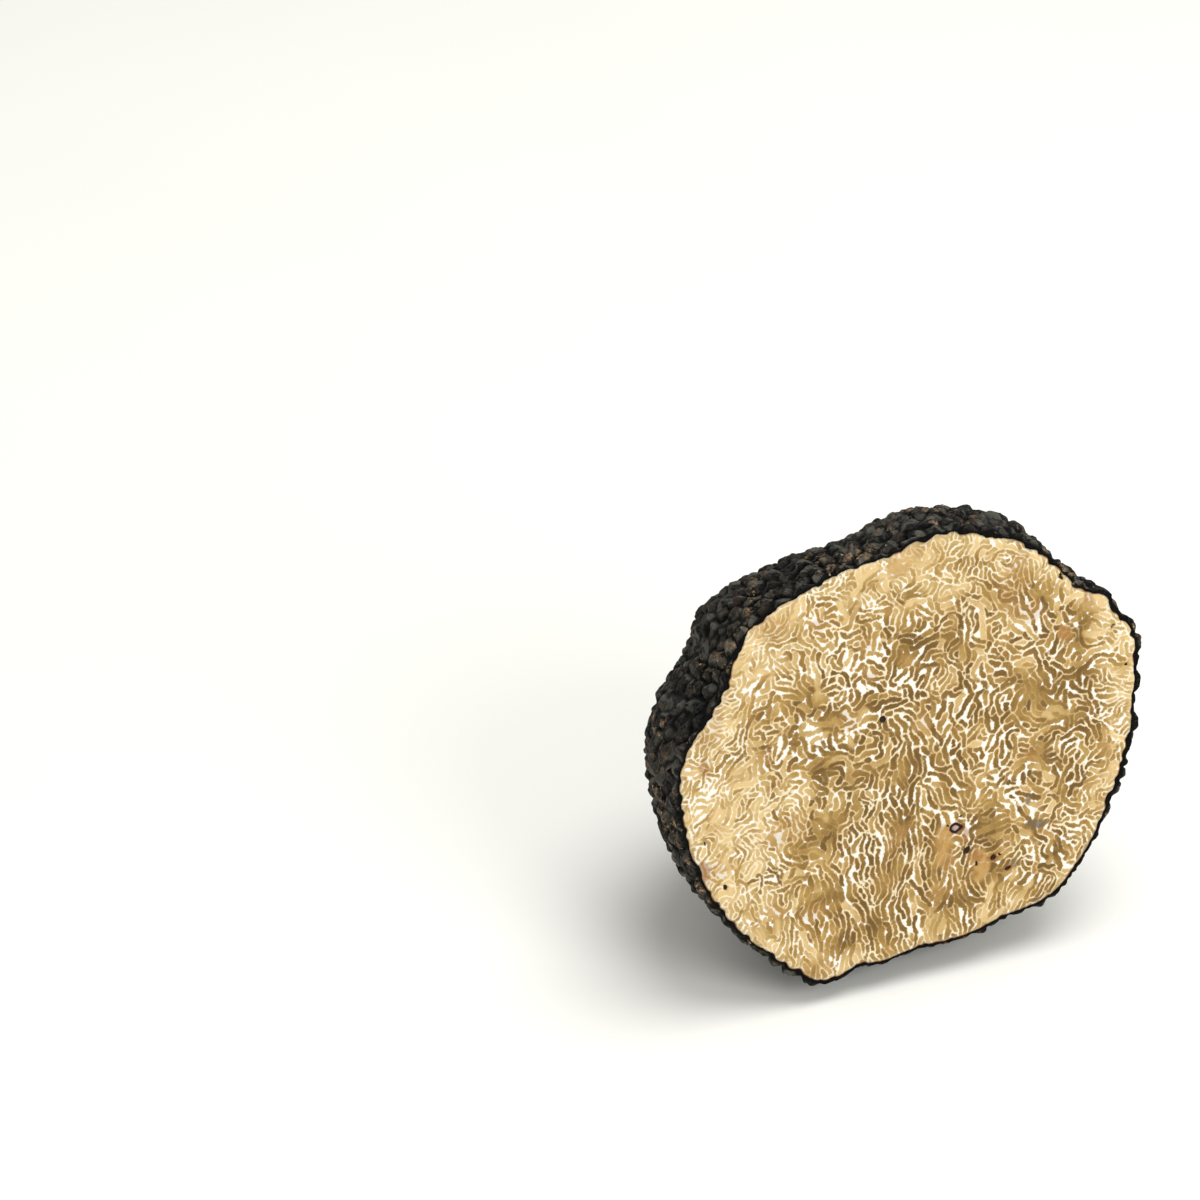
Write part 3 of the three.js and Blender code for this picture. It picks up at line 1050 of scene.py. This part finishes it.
line_share = maths(tree, "MULTIPLY", ranged(tree, inside, -0.06, 0.035), faint)
halo = maths(tree, "MULTIPLY", ranged(tree, inside, -0.15, 0.0, 0.0, 0.25), faint)
ribbon = mixed(tree, halo, ribbon, LINE_PEACH)
colour = mixed(tree, line_share, ribbon, mixed(tree, star, line, STAR_WHITE))

# %% Patches, marks and the rim
patch_share = maths(tree, "MULTIPLY_ADD", line_share, -0.2, stored(tree, "smooth_patch"))
patch_colour = mixed(tree, ranged(tree, cloudy(tree, 1.5, 3.0), 0.35, 0.65), PATCH_OCHRE, PATCH_GOLD)
colour = mixed(tree, patch_share, colour, patch_colour)
colour = mixed(tree, stored(tree, "smoky"), colour, SMOKE)
rim_line = stored(tree, "rim_line")
colour = mixed(tree, maths(tree, "MULTIPLY", rim_line, 0.35), colour, LINE_CREAM)
at_rim = ranged(tree, rim_line, 0.55, 1.0)
rim_rust = maths(tree, "MULTIPLY", at_rim, ranged(tree, cloudy(tree, 2.5, 3.0), 0.45, 0.6))
colour = mixed(tree, rim_rust, colour, RUST)
colour = mixed(tree, stored(tree, "stain"), colour, RUST)
colour = mixed(tree, ranged(tree, stored(tree, "pit"), 0.25, 0.7), colour, PIT_DARK)
tunnel = stored(tree, "tunnel")
wall = ranged(tree, maths(tree, "ABSOLUTE", maths(tree, "SUBTRACT", tunnel, 1.0)), 0.5, 0.2)
colour = mixed(tree, ranged(tree, tunnel, 1.9, 1.3, 0.0, 0.5), colour, RUST)
colour = mixed(tree, ranged(tree, tunnel, 1.0, 0.7), colour, TUNNEL_PLUG)
colour = mixed(tree, wall, colour, TUNNEL_WALL)

# %% Flesh material
tree.links.new(colour, shader.inputs["Base Color"])
shader.inputs["Roughness"].default_value = 0.55
shader.inputs["Specular IOR Level"].default_value = 0.2
bumped(tree, shader, cloudy(tree, 0.3, 4.0, 0.6), 0.03)
flesh.data.materials.append(flesh_material)

# %% [markdown]
# ## Join the pieces to the frame
#
# Each piece rides on the one body and takes the place of its solid.

# %% Ride and replace
for piece, node in ((rind, "rind"), (flesh, "flesh")):
    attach(piece, "root")
    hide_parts(node)

# %% [markdown]
# ## Floor, light and camera
#
# The photograph is bright: a pale table that runs into a pale background, lit softly from above on
# the right. A large white floor under a weak white sky gives the evenness. A broad lamp high on the
# right gives the soft shadow at the lower left, and leaves the left flank dark. A second lamp in
# front lights the cut face.

# %% Floor
bm = bmesh.new()
bmesh.ops.create_grid(bm, x_segments=8, y_segments=8, size=1.5)
floor, laid = finished("floor", bm)
floor_material, tree, shader = new_material("pale_table")
table = mixed(tree, cloudy(tree, 60.0), linear((246, 246, 240)), linear((250, 250, 245)))
tree.links.new(table, shader.inputs["Base Color"])
shader.inputs["Roughness"].default_value = 0.6
floor.data.materials.append(floor_material)
floor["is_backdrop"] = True

# %% Light
LIT_POINT = (0, 0, 0.02)  # where both lamps point
world = bpy.data.worlds.new("pale_studio")
world.use_nodes = True
sky = world.node_tree.nodes["Background"]
sky.inputs["Color"].default_value = (1.0, 0.99, 0.965, 1.0)
sky.inputs["Strength"].default_value = 0.54
bpy.context.scene.world = world


def soft_lamp(name, place, size, watts):
    lamp = bpy.data.lights.new(name, "AREA")
    lamp.shape = "DISK"
    lamp.size = size
    lamp.energy = watts
    holder = bpy.data.objects.new(name, lamp)
    holder.location = place
    aim = Vector(LIT_POINT) - Vector(place)
    holder.rotation_euler = aim.to_track_quat("-Z", "Y").to_euler()
    bpy.context.collection.objects.link(holder)


soft_lamp("broad_lamp", (0.15, 0.0, 0.68), 0.5, 2.9)
soft_lamp("front_lamp", (0.25, -0.55, 0.4), 0.4, 1.85)

# %% [markdown]
# ### Camera
#
# The camera stands in front, to the left and above, and looks slightly past the truffle, because
# the half sits low on the right of the photograph. Its place is worked back from one point of the
# cut face and where that point is seen.

# %% Place the camera
AZIMUTH = math.radians(-20)
ELEVATION = math.radians(33)
CAMERA_FAR = 0.38  # metres along the line of sight
PIXELS = 1200  # width and height of the photograph
PIXELS_PER_METRE = 9500  # at the cut face
SEEN_POINT = (-0.73, -0.07)  # a point on the cut face, in mm from its middle
SEEN_AT = (909, 756)  # where the photograph shows it
SENSOR = 36  # mm

level = math.cos(ELEVATION)
back = Vector((math.sin(AZIMUTH) * level, -math.cos(AZIMUTH) * level, math.sin(ELEVATION)))
right = (-back).cross(Vector((0, 0, 1))).normalized()
up = back.cross(right)
focal = PIXELS_PER_METRE * CAMERA_FAR
seen = Vector(stand(np.array([[*SEEN_POINT, 0.0]]))[0]) * MM
across = (SEEN_AT[0] - PIXELS / 2) / focal
rise = (PIXELS / 2 - SEEN_AT[1]) / focal
place_of_camera = seen - CAMERA_FAR * (-back + across * right + rise * up)

lens = bpy.data.cameras.new("camera")
lens.sensor_width = SENSOR
lens.lens = focal * SENSOR / PIXELS
lens.clip_start = 0.01
camera = bpy.data.objects.new("camera", lens)
turned = Matrix((right, up, back)).transposed().to_4x4()
camera.matrix_world = Matrix.Translation(place_of_camera) @ turned
bpy.context.collection.objects.link(camera)
bpy.context.scene.camera = camera
bpy.context.scene.view_settings.view_transform = "Standard"
print("lens", round(lens.lens, 1), "mm, camera at", [round(c, 3) for c in place_of_camera])

# %% Gather the sizes
new_low, new_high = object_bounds()
sizes = {"cad": [list(cad_low), list(cad_high)], "visual": [list(new_low), list(new_high)]}
print("visual box in mm:", [round(1000 * (b - a), 2) for a, b in zip(new_low, new_high)])
